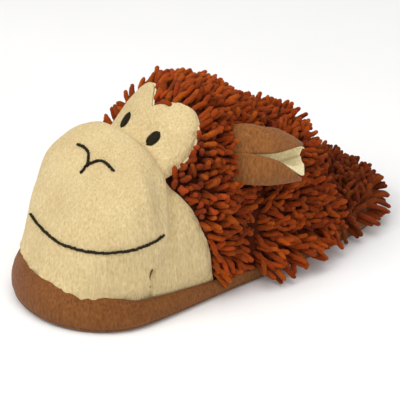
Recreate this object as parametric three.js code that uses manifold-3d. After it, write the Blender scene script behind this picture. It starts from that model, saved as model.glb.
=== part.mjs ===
// A backless plush slipper with an animal's face: a foam sole wrapped in plush, a padded footbed, a hollow
// upper covered in shaggy yarn, and a stuffed head with a snout, a face patch and two folded ears.
// Millimetres. X runs across the foot, the toe points along -Y, Z is up. The origin is the middle of the sole's
// underside, on the floor.

import * as THREE from 'three';
import { mergeVertices } from 'three/addons/utils/BufferGeometryUtils.js';
import Module from 'manifold-3d';

const wasm = await Module();
wasm.setup();

const LENGTH = 262;
const BALL_WIDTH = 109;
const HEAD_TOP = 122;
const MUZZLE_TOP = 101;
const INSTEP_TOP = 74;
const BAND_TOP = 23;
const BAND_SWELL = 3;
const SOLE_THICK = 9;
const PAD_THICK = 9;
const ARCH_RISE = 1.5;
const TOE_SPRING = 2.5;
const WALL = 3;
const RIM = 3;
const SKIN = 3.5;
const GAP = 0.3;
const PATCH = 1.6;
const COLLAR_ROLL = 3.4;
const YARN = 4.6;
const YARN_LENGTH = 11;
const EAR_LENGTH = 48;
const EAR_HEIGHT = 38;
const EAR_DEPTH = 17;
const EAR_CLOTH = 2.4;
const EAR_LINING = 1.2;
const EAR_LEAN = 0.3;

const HALF = BALL_WIDTH / 2;
const EAR_ROOT = new THREE.Vector3(HALF * 0.826, -LENGTH * 0.0305, HEAD_TOP * 0.738);
const EAR_TIP = new THREE.Vector3(HALF * 0.972, LENGTH * 0.145, HEAD_TOP * 0.605);

const COLOUR = {
  sole: 0x9b673a,
  yarn: 0x7a3516,
  muzzle: 0xe2ce9c,
  panel: 0xd8c48e,
  ear: 0x9e683a,
  lining: 0xcfc08f,
};

// Each table has named columns. `at` is the share of the length from the heel end (0) to the toe end (1).
// Half widths are shares of half the ball width.
const OUTLINE = [
  { at: 0.0, width: 0.875 },
  { at: 0.14, width: 0.885 },
  { at: 0.35, width: 1.0 },
  { at: 0.5, width: 0.995 },
  { at: 0.68, width: 1.0 },
  { at: 0.82, width: 0.985 },
  { at: 1.0, width: 0.9 },
];
const HEEL_ROUND = 0.17;
const TOE_ROUND = 0.24;

// Top of the sole's plush band, as a share of its height at the toe.
const BAND = [
  { at: 0.0, top: 0.42 },
  { at: 0.5, top: 0.43 },
  { at: 0.6, top: 0.51 },
  { at: 0.7, top: 0.61 },
  { at: 0.8, top: 0.72 },
  { at: 0.9, top: 0.87 },
  { at: 1.0, top: 1.0 },
];

// Underside of the sole: share of the arch rise, then of the toe spring.
const UNDERSIDE = [
  { at: -0.05, arch: 0, spring: 0 },
  { at: 0.29, arch: 0, spring: 0 },
  { at: 0.34, arch: 0.6, spring: 0 },
  { at: 0.38, arch: 1, spring: 0 },
  { at: 0.42, arch: 0.6, spring: 0 },
  { at: 0.46, arch: 0, spring: 0 },
  { at: 0.88, arch: 0, spring: 0 },
  { at: 0.95, arch: 0, spring: 0.3 },
  { at: 1.05, arch: 0, spring: 1.3 },
];

// The hollow upper: height as a share of the instep, inset from the sole's outline in mm, roundness of the arch.
const UPPER = [
  { at: 0.2, top: 1.0, inset: 2, round: 2.5 },
  { at: 0.26, top: 1.02, inset: 1.6, round: 2.5 },
  { at: 0.34, top: 1.04, inset: 1.6, round: 2.5 },
  { at: 0.42, top: 1.01, inset: 1.9, round: 2.4 },
  { at: 0.48, top: 0.97, inset: 2.6, round: 2.4 },
  { at: 0.54, top: 0.92, inset: 7.4, round: 2.4 },
  { at: 0.64, top: 0.81, inset: 7.4, round: 2.4 },
  { at: 0.74, top: 0.69, inset: 7.4, round: 2.4 },
  { at: 0.84, top: 0.56, inset: 7.4, round: 2.4 },
  { at: 0.9, top: 0.46, inset: 7.4, round: 2.4 },
  { at: 0.94, top: 0.36, inset: 7.4, round: 2.4 },
  { at: 0.962, top: 0.26, inset: 7.4, round: 2.2 },
];

// The stuffed head: height as a share of its top, half width as a share of half the ball width.
const HEAD = [
  { at: 0.302, top: 0.6, width: 0.12, round: 2.2 },
  { at: 0.317, top: 0.68, width: 0.3, round: 2.2 },
  { at: 0.355, top: 0.75, width: 0.55, round: 2.3 },
  { at: 0.405, top: 0.83, width: 0.74, round: 2.3 },
  { at: 0.454, top: 0.92, width: 0.88, round: 2.3 },
  { at: 0.5, top: 0.985, width: 0.95, round: 2.35 },
  { at: 0.546, top: 1.0, width: 0.965, round: 2.4 },
  { at: 0.588, top: 0.98, width: 0.97, round: 2.4 },
  { at: 0.626, top: 0.93, width: 0.965, round: 2.4 },
  { at: 0.645, top: 0.885, width: 0.96, round: 2.4 },
  { at: 0.672, top: 0.815, width: 0.96, round: 2.4 },
  { at: 0.7, top: 0.755, width: 0.965, round: 2.5 },
  { at: 0.73, top: 0.7, width: 0.965, round: 2.6 },
  { at: 0.767, top: 0.6, width: 0.94, round: 2.6 },
];

// The stuffed snout: height as a share of its top, half width as a share of half the ball width.
const MUZZLE = [
  { at: 0.655, top: 0.62, width: 0.6, round: 2.6 },
  { at: 0.668, top: 0.74, width: 0.71, round: 2.8 },
  { at: 0.683, top: 0.845, width: 0.79, round: 3.0 },
  { at: 0.703, top: 0.945, width: 0.865, round: 3.0 },
  { at: 0.729, top: 1.0, width: 0.935, round: 2.9 },
  { at: 0.752, top: 0.98, width: 0.985, round: 3.1 },
  { at: 0.775, top: 0.935, width: 1.01, round: 3.7 },
  { at: 0.821, top: 0.845, width: 0.985, round: 3.9 },
  { at: 0.859, top: 0.745, width: 0.91, round: 3.2 },
  { at: 0.897, top: 0.59, width: 0.79, round: 3.1 },
  { at: 0.927, top: 0.457, width: 0.655, round: 3.0 },
  { at: 0.95, top: 0.33, width: 0.49, round: 2.8 },
  { at: 0.972, top: 0.225, width: 0.32, round: 2.4 },
  { at: 0.984, top: 0.165, width: 0.17, round: 2.2 },
];

// Rear edge of the upper, seen from the side: height as a share of the instep, place as a share of the length.
const COLLAR_EDGE = [
  { high: -0.2, at: 0.246 },
  { high: 0.12, at: 0.248 },
  { high: 0.4, at: 0.258 },
  { high: 0.62, at: 0.296 },
  { high: 0.82, at: 0.29 },
  { high: 1.02, at: 0.262 },
  { high: 1.4, at: 0.24 },
];

// Side panel, seen from the side: height as a share of the muzzle's top.
const PANEL = [
  { at: 0.716, high: -0.1 },
  { at: 0.75, high: 0.86 },
  { at: 0.7, high: 0.84 },
  { at: 0.678, high: 0.75 },
  { at: 0.66, high: 0.66 },
  { at: 0.639, high: 0.54 },
  { at: 0.6256, high: 0.41 },
  { at: 0.6187, high: 0.26 },
  { at: 0.607, high: 0.1 },
  { at: 0.595, high: -0.1 },
];

// Face patch, seen from above: one lobe of the heart, from the notch round to the snout.
const MASK = [
  { at: 0.63, across: 0.0 },
  { at: 0.613, across: 0.16 },
  { at: 0.598, across: 0.27 },
  { at: 0.586, across: 0.41 },
  { at: 0.585, across: 0.53 },
  { at: 0.593, across: 0.61 },
  { at: 0.609, across: 0.66 },
  { at: 0.632, across: 0.69 },
  { at: 0.655, across: 0.685 },
  { at: 0.68, across: 0.665 },
  { at: 0.76, across: 0.65 },
];

// Smooth interpolation between a table's rows that never overshoots them.
function column(rows, key, from = 'at') {
  const x = rows.map((row) => row[from]);
  const y = rows.map((row) => row[key]);
  const slope = [];
  for (let i = 0; i < x.length - 1; i += 1) {
    slope.push((y[i + 1] - y[i]) / (x[i + 1] - x[i]));
  }
  const tangent = x.map((_, i) => {
    if (i === 0) return slope[0];
    if (i === x.length - 1) return slope[i - 1];
    const a = slope[i - 1];
    const b = slope[i];
    return a * b <= 0 ? 0 : (2 * a * b) / (a + b);
  });
  return (value) => {
    const v = Math.min(Math.max(value, x[0]), x[x.length - 1]);
    let i = 0;
    while (i < x.length - 2 && v > x[i + 1]) i += 1;
    const h = x[i + 1] - x[i];
    const s = (v - x[i]) / h;
    const a = y[i] * (1 + 2 * s) * (1 - s) * (1 - s) + y[i + 1] * s * s * (3 - 2 * s);
    const b = tangent[i] * h * s * (1 - s) * (1 - s) + tangent[i + 1] * h * s * s * (s - 1);
    return a + b;
  };
}

const outlineWidth = column(OUTLINE, 'width');
const bandTop = column(BAND, 'top');
const archShare = column(UNDERSIDE, 'arch');
const springShare = column(UNDERSIDE, 'spring');

function placeY(at) {
  return LENGTH * (0.5 - at);
}

function shareOf(y) {
  return 0.5 - y / LENGTH;
}

function smooth(value) {
  const s = Math.min(Math.max(value, 0), 1);
  return s * s * (3 - 2 * s);
}

// Half width of the sole at a share of its length, with both ends rounded off.
function soleHalf(at) {
  const t = Math.min(Math.max(at, 0), 1);
  const heel = t < HEEL_ROUND ? Math.sqrt(1 - ((HEEL_ROUND - t) / HEEL_ROUND) ** 2.2) : 1;
  const start = 1 - TOE_ROUND;
  const toe = t > start ? Math.max(0, 1 - ((t - start) / TOE_ROUND) ** 2.3) ** (1 / 2.1) : 1;
  return HALF * outlineWidth(t) * heel * toe;
}

// Half width at y of the sole's outline drawn in by an inset all round.
function insetHalf(y, inset) {
  const shrink = LENGTH / (LENGTH - 2 * inset);
  return soleHalf(shareOf(y * shrink)) * (1 - inset / HALF);
}

// Joins loops of equal count into one closed body, with a fan over each end. A folded loop runs out along one
// side of a cloth and back along the other, and its ends close straight across the cloth.
function loft(loops, folded = false) {
  const count = loops[0].length;
  const points = [];
  const index = [];
  for (const loop of loops) {
    for (const point of loop) points.push(point.x, point.y, point.z);
  }
  for (let i = 0; i < loops.length - 1; i += 1) {
    for (let j = 0; j < count; j += 1) {
      const a = i * count + j;
      const b = i * count + ((j + 1) % count);
      index.push(a, b, a + count, b, b + count, a + count);
    }
  }
  for (const end of [0, loops.length - 1]) {
    if (folded) {
      for (let j = 0; j < count / 2 - 1; j += 1) {
        const [a, b] = [end * count + j, end * count + j + 1];
        const [c, d] = [end * count + count - 1 - j, end * count + count - 2 - j];
        if (end === 0) index.push(b, a, c, d, b, c);
        else index.push(a, b, c, b, d, c);
      }
      continue;
    }
    const middle = new THREE.Vector3();
    for (const point of loops[end]) middle.addScaledVector(point, 1 / count);
    const centre = points.length / 3;
    points.push(middle.x, middle.y, middle.z);
    for (let j = 0; j < count; j += 1) {
      const a = end * count + j;
      const b = end * count + ((j + 1) % count);
      if (end === 0) index.push(b, a, centre);
      else index.push(a, b, centre);
    }
  }
  const geometry = new THREE.BufferGeometry();
  geometry.setAttribute('position', new THREE.Float32BufferAttribute(points, 3));
  geometry.setIndex(index);
  return geometry;
}

function signedVolume(geometry) {
  const position = geometry.getAttribute('position');
  const index = geometry.getIndex();
  const a = new THREE.Vector3();
  const b = new THREE.Vector3();
  const c = new THREE.Vector3();
  let sum = 0;
  for (let i = 0; i < index.count; i += 3) {
    a.fromBufferAttribute(position, index.getX(i));
    b.fromBufferAttribute(position, index.getX(i + 1));
    c.fromBufferAttribute(position, index.getX(i + 2));
    sum += a.dot(b.clone().cross(c)) / 6;
  }
  return sum;
}

// Turns a closed geometry into a solid, facing outwards.
function solid(geometry) {
  const bare = geometry.clone();
  bare.deleteAttribute('normal');
  bare.deleteAttribute('uv');
  const merged = mergeVertices(bare, 1e-4);
  const order = Array.from(merged.getIndex().array);
  if (signedVolume(merged) < 0) {
    for (let i = 0; i < order.length; i += 3) {
      [order[i + 1], order[i + 2]] = [order[i + 2], order[i + 1]];
    }
  }
  const vertProperties = new Float32Array(merged.getAttribute('position').array);
  const triVerts = new Uint32Array(order);
  return new wasm.Manifold(new wasm.Mesh({ numProp: 3, vertProperties, triVerts }));
}

function geometryOf(body) {
  const mesh = body.getMesh();
  const geometry = new THREE.BufferGeometry();
  geometry.setAttribute('position', new THREE.Float32BufferAttribute(mesh.vertProperties, 3));
  geometry.setIndex(Array.from(mesh.triVerts));
  return geometry;
}

// A flat outline pushed straight through along one axis. Each point gives its two other coordinates.
function prism(points, axis, from, to) {
  const place = (point, along) => {
    if (axis === 'x') return new THREE.Vector3(along, point[0], point[1]);
    return new THREE.Vector3(point[0], point[1], along);
  };
  const shape = new THREE.Shape(points.map((point) => new THREE.Vector2(point[0], point[1])));
  const faces = THREE.ShapeUtils.triangulateShape(shape.getPoints(), []);
  const flat = shape.getPoints();
  const vertices = [];
  for (const along of [from, to]) {
    for (const point of flat) vertices.push(...place([point.x, point.y], along).toArray());
  }
  const count = flat.length;
  const index = [];
  for (const face of faces) {
    index.push(face[0], face[2], face[1]);
    index.push(face[0] + count, face[1] + count, face[2] + count);
  }
  const turn = THREE.ShapeUtils.area(flat) > 0;
  for (let i = 0; i < count; i += 1) {
    const j = (i + 1) % count;
    const quad = [i, j, i + count, j, j + count, i + count];
    if (!turn) quad.reverse();
    index.push(...quad);
  }
  const geometry = new THREE.BufferGeometry();
  geometry.setAttribute('position', new THREE.Float32BufferAttribute(vertices, 3));
  geometry.setIndex(index);
  return solid(geometry);
}

// One ring of the sole's outline, drawn in by inset(at) and set at height(at).
function ring(inset, height, count) {
  const points = [];
  for (let i = 0; i < count; i += 1) {
    const angle = ((i + 0.5) / count) * 2 * Math.PI;
    const at = 0.5 - 0.5 * Math.cos(angle);
    const side = angle < Math.PI ? 1 : -1;
    const drawn = inset(at);
    const x = side * soleHalf(at) * (1 - drawn / HALF);
    const y = placeY(at) * (1 - (2 * drawn) / LENGTH);
    points.push(new THREE.Vector3(x, y, height(at)));
  }
  return points;
}

// A cross section in the plane across the foot: an arch on a flat base, tucked in where it meets the band.
const BASE = SOLE_THICK + GAP;

function archSection(y, half, top, roundness, bulge, tuck, count) {
  const points = [];
  const band = BAND_TOP * bandTop(shareOf(y));
  for (let i = 0; i <= count; i += 1) {
    const angle = (Math.PI * i) / count;
    const c = Math.cos(angle);
    const s = Math.sin(angle);
    const reach = (Math.abs(c) ** roundness + Math.abs(s) ** roundness) ** (-1 / roundness);
    const z = BASE + (top - BASE) * reach * s;
    const share = (z - BASE) / (top - BASE);
    const out = bulge * Math.sin(Math.PI * Math.min(share * 1.2, 1));
    const held = 1 - smooth((z - band) / 14);
    const x = reach * c * (half + out - tuck * held);
    points.push(new THREE.Vector3(x, y, z));
  }
  return points;
}

function stations(from, to, step) {
  const count = Math.max(2, Math.ceil(Math.abs(to - from) / step));
  const list = [];
  for (let i = 0; i <= count; i += 1) list.push(from + ((to - from) * i) / count);
  return list;
}

const upperTop = column(UPPER, 'top');
const upperInset = column(UPPER, 'inset');
const upperRound = column(UPPER, 'round');
const headTop = column(HEAD, 'top');
const headWidth = column(HEAD, 'width');
const headRound = column(HEAD, 'round');
const muzzleTop = column(MUZZLE, 'top');
const muzzleWidth = column(MUZZLE, 'width');
const muzzleRound = column(MUZZLE, 'round');
const collarAt = column(COLLAR_EDGE, 'at', 'high');

// The three forms. `grow` moves the whole skin out by that many mm.
function upperSection(at, grow, count = 14) {
  const y = placeY(at);
  const half = insetHalf(y, upperInset(at)) + grow;
  const top = INSTEP_TOP * upperTop(at) + grow;
  return archSection(y, half, top, upperRound(at), 0, 0, count);
}

function headSection(at, grow, count = 18) {
  const y = placeY(at);
  const held = insetHalf(y, RIM + GAP);
  const half = Math.max(HALF * headWidth(at) + grow, 1);
  const tuck = Math.max(0, half - (held + Math.min(grow, 0)));
  return archSection(y, half, HEAD_TOP * headTop(at) + grow, headRound(at), 0, tuck, count);
}

function muzzleSection(at, grow, count = 20) {
  const y = placeY(at);
  const held = insetHalf(y, RIM + GAP);
  const half = Math.max(HALF * muzzleWidth(at) + grow, 1);
  const tuck = Math.max(0, half - (held + Math.min(grow, 0)));
  return archSection(y, half, MUZZLE_TOP * muzzleTop(at) + grow, muzzleRound(at), 0, tuck, count);
}

// A closed form through its sections. The end sections move out by `grow` too, and `drop` lowers the base.
function form(section, ats, grow, drop = 0) {
  const loops = ats.map((at, i) => {
    const loop = section(at, grow);
    const shift = i === 0 ? grow : i === ats.length - 1 ? -grow : 0;
    const left = loop[loop.length - 1].clone();
    const right = loop[0].clone();
    loop.forEach((point) => {
      point.y += shift;
    });
    left.y += shift;
    right.y += shift;
    left.z = BASE - drop;
    right.z = BASE - drop;
    if (drop > 0) return [right, ...loop, left];
    return loop;
  });
  return solid(loft(loops));
}

const UPPER_ATS = [...stations(0.2, 0.48, 0.04), 0.51, 0.54, ...stations(0.6, 0.9, 0.06), 0.93, 0.95, 0.962];
const HEAD_ATS = [0.302, 0.309, 0.317, 0.335, 0.36, 0.39, 0.42, 0.454, 0.487, 0.52, 0.55, 0.58, 0.604, 0.626,
  0.645, 0.672, 0.7, 0.73, 0.767];
const MUZZLE_ATS = [0.655, 0.668, 0.683, 0.703, 0.729, 0.752, 0.775, 0.798, 0.821, 0.845, 0.87, 0.892, 0.912,
  0.93, 0.945, 0.96, 0.972, 0.984];

// The sole: a foam slab wrapped in plush, with a stepped lower edge, an arch, a toe spring and a band that
// rises and swells round the toe to hold the snout.
function makeSole() {
  const count = 60;
  const low = () => -8;
  const swell = (at) => BAND_SWELL * smooth((at - 0.5) / 0.3) * (1 - 0.85 * smooth((at - 0.92) / 0.07));
  const layers = [
    [() => 1.5, low],
    [(at) => 1.2 - 0.7 * swell(at), () => 0.8],
    [(at) => 0.9 - 0.8 * swell(at), () => 3],
    [(at) => 0.2 - 0.9 * swell(at), () => 3.6],
    [(at) => -swell(at), (at) => BAND_TOP * bandTop(at) * 0.55],
    [(at) => 0.2 - 0.4 * swell(at), (at) => BAND_TOP * bandTop(at) - 1.2],
    [() => 1.2, (at) => BAND_TOP * bandTop(at)],
  ];
  const slab = solid(loft(layers.map(([inset, height]) => ring(inset, height, count))));
  const profile = stations(-0.05, 1.05, 0.02).map((at) => {
    return [placeY(at), ARCH_RISE * archShare(at) + TOE_SPRING * springShare(at)];
  });
  const floor = prism([...profile, [placeY(1.05), -20], [placeY(-0.05), -20]], 'x', -HALF * 1.3, HALF * 1.3);
  const held = (at) => RIM - 9 * (1 - smooth((at - 0.44) / 0.1));
  const recess = solid(loft([
    ring(held, () => SOLE_THICK, count),
    ring(held, () => BAND_TOP * 2, count),
  ]));
  return slab.subtract(floor).subtract(recess);
}

// The footbed: a soft pad that fills the open heel and slips inside the upper ahead of it.
const padInset = column([
  { at: 0, inset: 1.4 },
  { at: 0.185, inset: 1.6 },
  { at: 0.224, inset: 8 },
  { at: 0.3, inset: 7.2 },
  { at: 0.45, inset: 7.2 },
  { at: 0.52, inset: 11.4 },
  { at: 0.85, inset: 11.6 },
  { at: 1, inset: 15 },
], 'inset');

function makePad() {
  const count = 44;
  const top = BASE + PAD_THICK;
  const cup = (at) => top - 1.6 * Math.exp(-(((at - 0.15) / 0.1) ** 2));
  const layers = [
    [1, () => BASE],
    [0, () => BASE + 2.4],
    [0.3, () => top - 2.4],
    [1.8, () => top - 0.6],
    [5, () => top],
    [26, cup],
  ];
  return solid(loft(layers.map(([inset, height]) => ring((at) => padInset(at) + inset, height, count))));
}

// The upper: a hollow shell with a real wall, open at the collar and underneath, with a padded collar roll.
function edgeY(z) {
  return placeY(collarAt(z / INSTEP_TOP));
}

function behindCollar(shift) {
  const edge = stations(-0.2, 1.4, 0.08).map((high) => [edgeY(high * INSTEP_TOP) + shift, high * INSTEP_TOP]);
  const far = placeY(0.1);
  return prism([...edge, [far, 1.4 * INSTEP_TOP], [far, -0.2 * INSTEP_TOP]], 'x', -HALF * 1.4, HALF * 1.4);
}

function collarRoll(grow) {
  const path = [];
  const count = 22;
  for (let i = 0; i <= count; i += 1) {
    let at = 0.27;
    let point = null;
    for (let k = 0; k < 6; k += 1) {
      point = upperSection(at, -WALL * 0.5, count)[i];
      at = shareOf(edgeY(point.z));
    }
    path.push(point);
  }
  path[0].z -= 6;
  path[count].z -= 6;
  const curve = new THREE.CatmullRomCurve3(path);
  const shape = new THREE.Shape();
  shape.absarc(0, 0, COLLAR_ROLL + grow, 0, Math.PI * 2, false);
  const options = { extrudePath: curve, steps: 24, curveSegments: 3, bevelEnabled: false };
  return solid(new THREE.ExtrudeGeometry(shape, options));
}

function below(level) {
  const wide = HALF * 1.5;
  const long = LENGTH * 0.6;
  return prism([[-wide, -long], [wide, -long], [wide, long], [-wide, long]], 'z', level - 40, level);
}

function makeUpperShell() {
  const outer = form(upperSection, UPPER_ATS, 0);
  const inner = form(upperSection, UPPER_ATS, -WALL, 12);
  return outer.subtract(inner).subtract(behindCollar(0)).add(collarRoll(0)).subtract(below(BASE));
}

// One lock of yarn: a bent, tapering finger that starts inside the cloth.
function lock(root, out, lean, length, radius) {
  const steps = [
    { along: -0.25, lean: 0, size: 0.9 },
    { along: 0.55, lean: 0.3, size: 1 },
    { along: 0.98, lean: 0.9, size: 0.5 },
  ];
  const side = new THREE.Vector3().crossVectors(out, lean).normalize();
  const loops = steps.map((step) => {
    const centre = root.clone().addScaledVector(out, step.along * length);
    centre.addScaledVector(lean, step.lean * length * 0.7);
    const along = out.clone().addScaledVector(lean, step.lean * 1.4).normalize();
    const up = new THREE.Vector3().crossVectors(side, along).normalize();
    const loop = [];
    for (let i = 0; i < 4; i += 1) {
      const angle = (i / 4) * Math.PI * 2;
      const point = centre.clone();
      point.addScaledVector(side, Math.cos(angle) * radius * step.size);
      point.addScaledVector(up, Math.sin(angle) * radius * step.size);
      loop.push(point);
    }
    return loop;
  });
  return solid(loft(loops));
}

// Point and outward direction on a form, at a share of the length and a share of the way over the arch.
function onForm(section, at, over) {
  const count = 48;
  const here = section(at, 0, count);
  const ahead = section(at + 0.008, 0, count);
  const i = Math.min(Math.max(Math.round(over * count), 1), count - 1);
  const across = here[i + 1].clone().sub(here[i - 1]);
  const along = ahead[i].clone().sub(here[i]);
  const out = along.cross(across).normalize();
  const middle = new THREE.Vector3(0, here[i].y, BASE);
  if (out.dot(here[i].clone().sub(middle)) < 0) out.negate();
  return { point: here[i], out };
}

function wobble(seed) {
  const s = Math.sin(seed * 127.1 + 11.7) * 43758.5453;
  return s - Math.floor(s) - 0.5;
}

function joinAll(bodies) {
  let level = bodies;
  while (level.length > 1) {
    const next = [];
    for (let i = 0; i < level.length; i += 2) {
      next.push(i + 1 < level.length ? level[i].add(level[i + 1]) : level[i]);
    }
    level = next;
  }
  return level[0];
}

// The ears' roots are sewn here, so no lock grows under them.
function underEar(point) {
  const middle = EAR_ROOT.clone().lerp(EAR_TIP, 0.5);
  const off = new THREE.Vector3(Math.abs(point.x), point.y, point.z).sub(middle);
  return Math.abs(off.y) < EAR_LENGTH * 0.68 && Math.abs(off.z) < EAR_HEIGHT * 0.62 && off.x > -EAR_DEPTH;
}

// Locks over a form, in staggered rows. Each row says how far its locks hang back and down.
function locksOver(section, rows, grow) {
  const list = [];
  rows.forEach((row, r) => {
    for (let k = 0; k < row.count; k += 1) {
      const over = row.from + ((row.to - row.from) * (k + 0.5)) / row.count;
      for (const way of [over, 1 - over]) {
        const seed = r * 31 + k * 7 + (way > 0.5 ? 3 : 0);
        const { point, out } = onForm(section, row.at + wobble(seed) * 0.006, way);
        if (underEar(point)) continue;
        const lean = new THREE.Vector3(wobble(seed + 1) * 0.5, row.back, -row.down).normalize();
        const length = YARN_LENGTH * (1 + 0.25 * wobble(seed + 2));
        list.push(lock(point, out, lean, length + grow, YARN / 2 + grow));
      }
    }
  });
  return joinAll(list);
}

const UPPER_LOCKS = [
  { at: 0.278, from: 0.07, to: 0.46, count: 5, back: 0.9, down: 0.5 },
  { at: 0.328, from: 0.04, to: 0.4, count: 4, back: 0.8, down: 0.7 },
  { at: 0.378, from: 0.05, to: 0.3, count: 3, back: 0.7, down: 0.8 },
  { at: 0.428, from: 0.04, to: 0.2, count: 2, back: 0.6, down: 0.9 },
];
const HEAD_LOCKS = [
  { at: 0.35, from: 0.3, to: 0.5, count: 1, back: 0.9, down: 0.2 },
  { at: 0.395, from: 0.27, to: 0.49, count: 2, back: 0.9, down: 0.2 },
  { at: 0.44, from: 0.24, to: 0.49, count: 3, back: 0.8, down: 0.3 },
  { at: 0.49, from: 0.33, to: 0.49, count: 2, back: 0.7, down: 0.5 },
  { at: 0.53, from: 0.03, to: 0.49, count: 6, back: 0.5, down: 0.8 },
  { at: 0.572, from: 0.03, to: 0.26, count: 3, back: 0.3, down: 0.9 },
];
const PAD_LOCKS = 18;

function padLocks(grow) {
  const list = [];
  for (let i = 0; i < PAD_LOCKS; i += 1) {
    const angle = ((i + 0.5) / PAD_LOCKS - 0.5) * 2;
    const at = 0.2 * Math.abs(angle) ** 1.7;
    const side = Math.sign(angle);
    const inset = padInset(at) + 2;
    const x = side * soleHalf(at) * (1 - inset / HALF);
    const y = placeY(at) * (1 - (2 * inset) / LENGTH);
    const root = new THREE.Vector3(x, y, BASE + PAD_THICK - 2);
    const away = new THREE.Vector3(x, (y - placeY(0.2)) * 1.2, 0).normalize();
    const out = away.clone().multiplyScalar(0.8).add(new THREE.Vector3(0, 0, 0.6)).normalize();
    const lean = away.clone().multiplyScalar(0.35).add(new THREE.Vector3(wobble(i) * 0.4, 0, -0.9)).normalize();
    const length = YARN_LENGTH * (0.85 + 0.2 * wobble(i + 50));
    list.push(lock(root, out, lean, length + grow, YARN / 2 + grow));
  }
  for (let i = 0; i < 9; i += 1) {
    const at = 0.065 + 0.05 * Math.floor(i / 3) + 0.012 * (i % 2);
    const x = ((i % 3) - 1) * soleHalf(at) * 0.5;
    const root = new THREE.Vector3(x, placeY(at), BASE + PAD_THICK - 1.5);
    const lean = new THREE.Vector3(wobble(i + 9), 0.6 + wobble(i + 4), 0.1).normalize();
    list.push(lock(root, new THREE.Vector3(0, 0, 1), lean, YARN_LENGTH * 0.7 + grow, YARN / 2 + grow));
  }
  return joinAll(list);
}

// Flat outlines that part the face patch and the side panels from the head. `spread` widens them.
function maskPrism(spread) {
  const right = MASK.map((row) => {
    const push = row.across === 0 ? 0 : spread;
    return [HALF * row.across + push, placeY(row.at) + spread];
  });
  const left = right.slice(1).reverse().map(([x, y]) => [-x, y]);
  return prism([...right, ...left], 'z', HEAD_TOP * 0.3, HEAD_TOP * 1.4);
}

function panelPrism(side, spread, ahead = 0) {
  const points = PANEL.map((row, i) => {
    const forward = i < 2 ? -ahead : spread;
    return [placeY(row.at) + forward, MUZZLE_TOP * row.high + spread];
  });
  const from = HALF * 0.3;
  const to = HALF * 1.5;
  return side > 0 ? prism(points, 'x', from, to) : prism(points, 'x', -to, -from);
}

// The ear: a cloth folded like a taco, sewn flat to the head at its root and open at its tip.
const EAR = [
  { along: 0.0, tall: 0.9, deep: 0.45, open: 0.03 },
  { along: 0.25, tall: 1.0, deep: 0.8, open: 0.06 },
  { along: 0.5, tall: 0.95, deep: 1.0, open: 0.13 },
  { along: 0.77, tall: 0.8, deep: 1.0, open: 0.32 },
  { along: 1.0, tall: 0.56, deep: 0.8, open: 0.7 },
];
const earTall = column(EAR, 'tall', 'along');
const earDeep = column(EAR, 'deep', 'along');
const earOpen = column(EAR, 'open', 'along');

function earBody(side, inner, outer, from, to) {
  const axis = EAR_TIP.clone().sub(EAR_ROOT).normalize();
  const outward = new THREE.Vector3(1, 0, EAR_LEAN);
  outward.addScaledVector(axis, -outward.dot(axis)).normalize();
  const up = new THREE.Vector3().crossVectors(outward, axis).normalize();
  if (up.z < 0) up.negate();
  const loops = stations(from, to, 0.17).map((along) => {
    const centre = EAR_ROOT.clone().addScaledVector(axis, along * EAR_LENGTH);
    const tall = (EAR_HEIGHT / 2) * earTall(along);
    const deep = (EAR_DEPTH / 2) * earDeep(along);
    const half = Math.PI * (1 - earOpen(along) * 0.6);
    const loop = [];
    const place = (angle, inset) => {
      const point = centre.clone();
      point.addScaledVector(outward, -Math.cos(angle) * (deep - inset));
      point.addScaledVector(up, Math.sin(angle) * (tall - inset));
      point.x *= side;
      loop.push(point);
    };
    for (let i = 0; i <= 10; i += 1) place(-half + (2 * half * i) / 10, inner);
    for (let i = 10; i >= 0; i -= 1) place(-half + (2 * half * i) / 10, outer);
    return loop;
  });
  return solid(loft(loops, true));
}

const sole = makeSole()
  .subtract(form(muzzleSection, MUZZLE_ATS, GAP))
  .subtract(form(headSection, HEAD_ATS, GAP + 0.6))
  .subtract(form(upperSection, UPPER_ATS, GAP));
const upperForm = form(upperSection, UPPER_ATS, 0);
const upperAround = form(upperSection, UPPER_ATS, GAP, 4);
const headAround = form(headSection, HEAD_ATS, GAP, 4);
const muzzleBody = form(muzzleSection, MUZZLE_ATS, 0);
const muzzleAround = form(muzzleSection, MUZZLE_ATS, GAP, 4);

const muzzle = muzzleBody.subtract(upperAround);
const headSkin = form(headSection, HEAD_ATS, 0).subtract(upperAround).subtract(muzzleAround);
const patchOuter = form(headSection, HEAD_ATS, PATCH);
const patch = patchOuter
  .intersect(maskPrism(0))
  .subtract(headAround)
  .subtract(muzzleAround)
  .subtract(panelPrism(1, GAP, 12))
  .subtract(panelPrism(-1, GAP, 12));

const panels = [1, -1].map((side) => {
  return form(headSection, HEAD_ATS, 0.6)
    .intersect(panelPrism(side, 0))
    .subtract(muzzleAround)
    .subtract(upperAround)
    .subtract(below(BASE));
});

const ears = [1, -1].map((side) => earBody(side, EAR_CLOTH, 0, 0, 1).subtract(headAround));
const linings = [1, -1].map((side) => {
  const seat = EAR_CLOTH + 2 * GAP;
  const cloth = earBody(side, EAR_CLOTH + 0.5 * GAP, 0, 0, 1);
  return earBody(side, seat + EAR_LINING, seat, 0, 1).subtract(headAround).subtract(cloth);
});

const upperYarn = locksOver(upperSection, UPPER_LOCKS, 0);
const upperYarnAround = locksOver(upperSection, UPPER_LOCKS, GAP);
const upperInside = form(upperSection, UPPER_ATS, -WALL * 0.5, 12);
const upper = makeUpperShell()
  .add(upperYarn.subtract(upperInside))
  .subtract(headAround.subtract(upperForm))
  .subtract(below(BASE));

const head = headSkin
  .add(locksOver(headSection, HEAD_LOCKS, 0).subtract(upperAround).subtract(muzzleAround))
  .subtract(maskPrism(GAP).subtract(headSkin))
  .subtract(panelPrism(1, GAP, 12))
  .subtract(panelPrism(-1, GAP, 12))
  .subtract(upperYarnAround)
  .subtract(below(BASE));

const pad = makePad().add(padLocks(0)).subtract(collarRoll(GAP)).subtract(below(BASE));

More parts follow.
